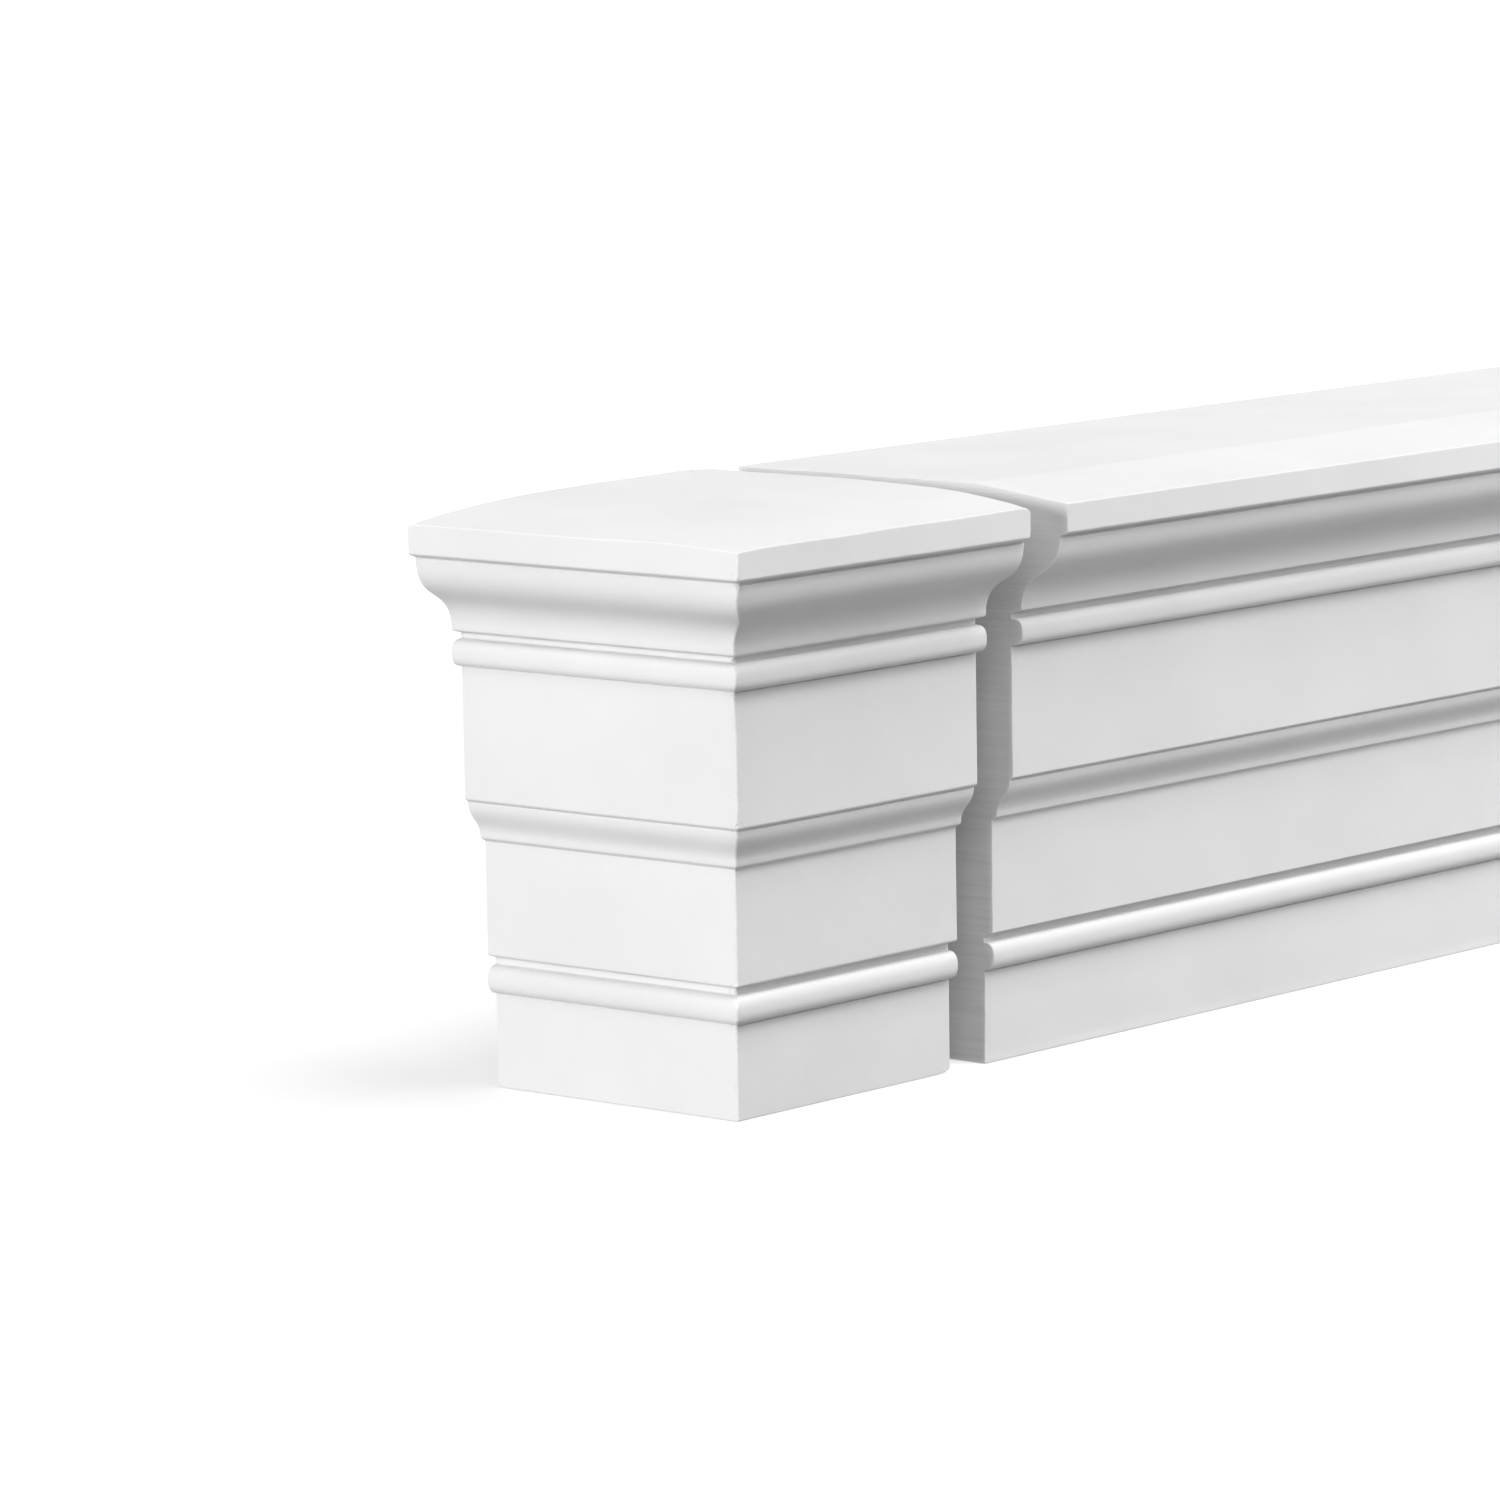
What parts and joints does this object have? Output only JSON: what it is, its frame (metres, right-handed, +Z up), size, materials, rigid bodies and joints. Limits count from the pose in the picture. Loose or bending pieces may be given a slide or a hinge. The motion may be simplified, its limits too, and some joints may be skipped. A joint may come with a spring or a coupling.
{
  "type": "facade moulding",
  "caption": "Straight facade moulding with a flat back: cap, ogee, beads and stepped fasciae, and a separate end piece with a mitred return.",
  "frame": {"origin": "centre of the whole moulding's box, on the underside", "axes": "+X along the wall from the end piece to the run's free end, +Y out of the flat back into the wall, +Z up"},
  "size_m": [1, 0.1878, 0.259],
  "materials": {
    "white_primer": "matt, very finely grained white primer coat"
  },
  "bodies": {
    "root": {"end_piece": "white_primer", "moulding_run": "white_primer"}
  },
  "joints": []
}
